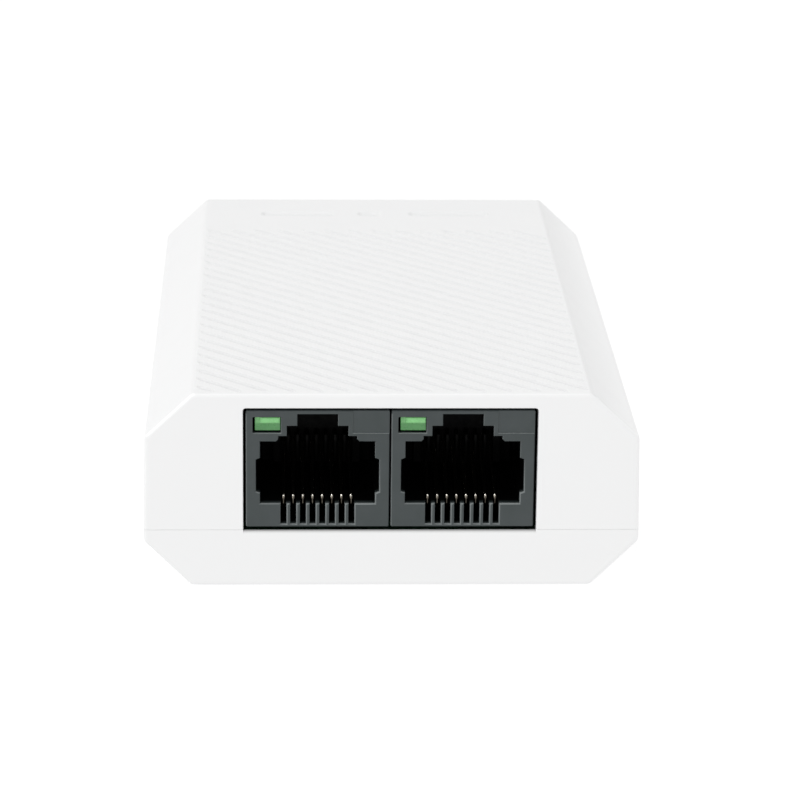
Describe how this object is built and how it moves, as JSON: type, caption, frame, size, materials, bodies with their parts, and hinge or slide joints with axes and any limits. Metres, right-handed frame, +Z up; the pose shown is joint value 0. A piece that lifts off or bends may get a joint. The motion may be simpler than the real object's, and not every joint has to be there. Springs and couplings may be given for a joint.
{
  "type": "poe injector",
  "caption": "Small white desktop box with bevelled long edges and a grooved top, two network sockets in front and a round power inlet behind, which adds power to an Ethernet line.",
  "frame": {"origin": "on the surface the feet stand on, below the centre of the case", "axes": "+X right as seen from the sockets, +Y from the sockets to the power inlet, +Z up"},
  "size_m": [0.052, 0.08, 0.022],
  "materials": {
    "white_case": "fine satin moulding texture, white",
    "dark_socket": "dark grey moulded plastic, satin",
    "dark_insert": "black moulded plastic, matt",
    "gold_contact": "thin gold plating",
    "tinned_metal": "bright tin plating",
    "green_lens": "clear green epoxy",
    "board_green": "green solder mask over woven glass laminate",
    "rubber": "dark matt rubber",
    "label": "blank matt film",
    "steel_screw": "dark zinc plating",
    "black_part": "black moulding compound",
    "ferrite": "dull dark grey ferrite",
    "copper_wire": "enamelled copper",
    "capacitor_sleeve": "dark blue shrink sleeve",
    "fuse_body": "off-white ceramic"
  },
  "bodies": {
    "chassis": {"top_cover": "white_case", "bottom_cover": "white_case", "lan_jack_housing": "dark_socket", "poe_jack_housing": "dark_socket", "lan_contact_carrier": "dark_insert", "poe_contact_carrier": "dark_insert", "dc_centre_pin": "tinned_metal", "dc_spring_tail": "tinned_metal", "dc_switch_terminal": "tinned_metal", "lan_led": "green_lens", "poe_led": "green_lens", "circuit_board": "board_green", "foot_1": "rubber", "foot_2": "rubber", "foot_3": "rubber", "foot_4": "rubber", "blank_label": "label", "case_screw_1": "steel_screw", "case_screw_2": "steel_screw", "case_screw_3": "steel_screw", "case_screw_4": "steel_screw", "dc_jack_housing": "black_part", "lan_transformer": "black_part", "poe_transformer": "black_part", "power_controller": "black_part", "switch_transistor": "black_part", "sense_resistor": "black_part", "surge_diode": "black_part", "choke_base": "black_part", "choke_core": "ferrite", "power_inductor": "ferrite", "choke_winding_1": "copper_wire", "choke_winding_2": "copper_wire", "input_capacitor": "capacitor_sleeve", "output_capacitor": "capacitor_sleeve", "fuse": "fuse_body"},
    "lan_contacts": {"lan_contact_1": "gold_contact", "lan_contact_2": "gold_contact", "lan_contact_3": "gold_contact", "lan_contact_4": "gold_contact", "lan_contact_5": "gold_contact", "lan_contact_6": "gold_contact", "lan_contact_7": "gold_contact", "lan_contact_8": "gold_contact"},
    "poe_contacts": {"poe_contact_1": "gold_contact", "poe_contact_2": "gold_contact", "poe_contact_3": "gold_contact", "poe_contact_4": "gold_contact", "poe_contact_5": "gold_contact", "poe_contact_6": "gold_contact", "poe_contact_7": "gold_contact", "poe_contact_8": "gold_contact"},
    "dc_spring": {"dc_spring_contact": "tinned_metal"}
  },
  "joints": [
    {"name": "lan_contacts_flex", "type": "hinge", "parent": "chassis", "child": "lan_contacts", "pos_m": [-0.00779, -0.0371, 0.0095], "axis": [-1, 0, 0], "range_deg": [0, 8]},
    {"name": "poe_contacts_flex", "type": "hinge", "parent": "chassis", "child": "poe_contacts", "pos_m": [0.00736, -0.0371, 0.0095], "axis": [-1, 0, 0], "range_deg": [0, 8]},
    {"name": "dc_contact_flex", "type": "hinge", "parent": "chassis", "child": "dc_spring", "pos_m": [0, 0.0281, 0.00865], "axis": [-1, 0, 0], "range_deg": [0, 4]}
  ]
}
